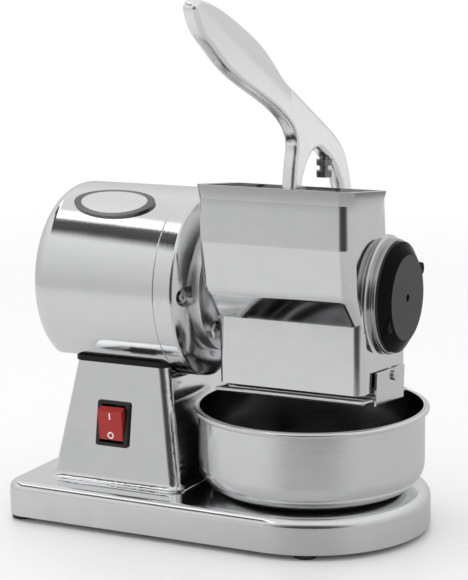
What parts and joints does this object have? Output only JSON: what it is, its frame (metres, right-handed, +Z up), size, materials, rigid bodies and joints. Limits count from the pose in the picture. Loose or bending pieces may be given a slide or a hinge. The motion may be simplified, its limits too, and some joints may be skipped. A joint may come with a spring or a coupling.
{
  "type": "electric grater",
  "caption": "Counter-top electric grater: horizontal motor on a cast base, feed hopper with presser lever, screw cap, finger guard and loose steel bowl.",
  "frame": {"origin": "on the bench, under the bowl's axis, which is also the centre of the base's round end", "axes": "+X along the motor axis towards the screw cap, +Y away from the user, +Z up"},
  "size_m": [0.2815, 0.2508, 0.3651],
  "materials": {
    "polished_casting": "mirror polished",
    "stainless": "polished",
    "steel": "bright zinc",
    "shaft_steel": "ground",
    "black_rubber": "matt",
    "black_plastic": "satin",
    "red_plastic": "gloss",
    "pale_plastic": "satin",
    "lamination": "varnished",
    "copper": "enamelled",
    "badge": "satin, bare",
    "sheet": "dull"
  },
  "bodies": {
    "frame": {"base_casting": "polished_casting", "bottom_plate": "sheet", "rubber_feet": "black_rubber", "foot_screws": "steel", "motor_gasket": "black_rubber", "motor_bolts": "steel", "motor_housing": "polished_casting", "front_shield": "polished_casting", "shield_screws": "steel", "badge_plate": "badge", "stator_core": "lamination", "stator_windings": "copper", "front_bearing": "shaft_steel", "rear_bearing": "shaft_steel", "bearing_spring": "steel", "capacitor": "pale_plastic", "capacitor_nut": "steel", "terminal_block": "pale_plastic", "switch_body": "black_plastic", "cable_gland": "black_plastic", "gland_nut": "black_plastic", "hopper_casting": "polished_casting", "hopper_bolts": "steel", "shaft_seal": "black_rubber", "outlet_guard": "stainless", "guard_screws": "steel", "hinge_pin": "shaft_steel", "pin_clip": "steel"},
    "drum": {"rotor_core": "lamination", "rotor_end_rings": "badge", "motor_shaft": "shaft_steel", "grating_sleeve": "stainless", "drum_end_inner": "polished_casting", "drum_end_outer": "polished_casting", "drum_drive_pin": "steel", "drum_nut": "steel"},
    "lever": {"lever_arm": "polished_casting", "presser_pad": "polished_casting", "presser_screws": "steel", "stop_bolt": "steel", "stop_locknut": "steel"},
    "rocker": {"switch_rocker": "red_plastic"},
    "cap_ring": {"cap_seal": "black_rubber"},
    "cap": {"drum_cap": "black_plastic"},
    "bowl": {"bowl": "stainless"}
  },
  "joints": [
    {"name": "lever_swing", "type": "hinge", "parent": "frame", "child": "lever", "pos_m": [0, 0.05, 0.204], "axis": [-1, 0, 0], "range_deg": [-20, 80]},
    {"name": "rocker_tilt", "type": "hinge", "parent": "frame", "child": "rocker", "pos_m": [-0.1275, -0.04885, 0.069], "axis": [1, 0, 0], "range_deg": [-28, 0]},
    {"name": "drum_spin", "type": "hinge", "parent": "frame", "child": "drum", "pos_m": [0, 0, 0.164], "axis": [1, 0, 0], "continuous": true},
    {"name": "cap_travel", "type": "slide", "parent": "frame", "child": "cap_ring", "axis": [1, 0, 0], "range_m": [0, 0.006]},
    {"name": "cap_turn", "type": "hinge", "parent": "cap_ring", "child": "cap", "pos_m": [0.0635, 0, 0.164], "axis": [1, 0, 0], "range_deg": [0, 1440]},
    {"name": "bowl_draw", "type": "slide", "parent": "frame", "child": "bowl", "axis": [0, -1, 0], "range_m": [0, 0.17]}
  ],
  "couplings": [
    {"joint": "cap_travel", "follows": "cap_turn", "m_per_rad": 0.00023873}
  ]
}
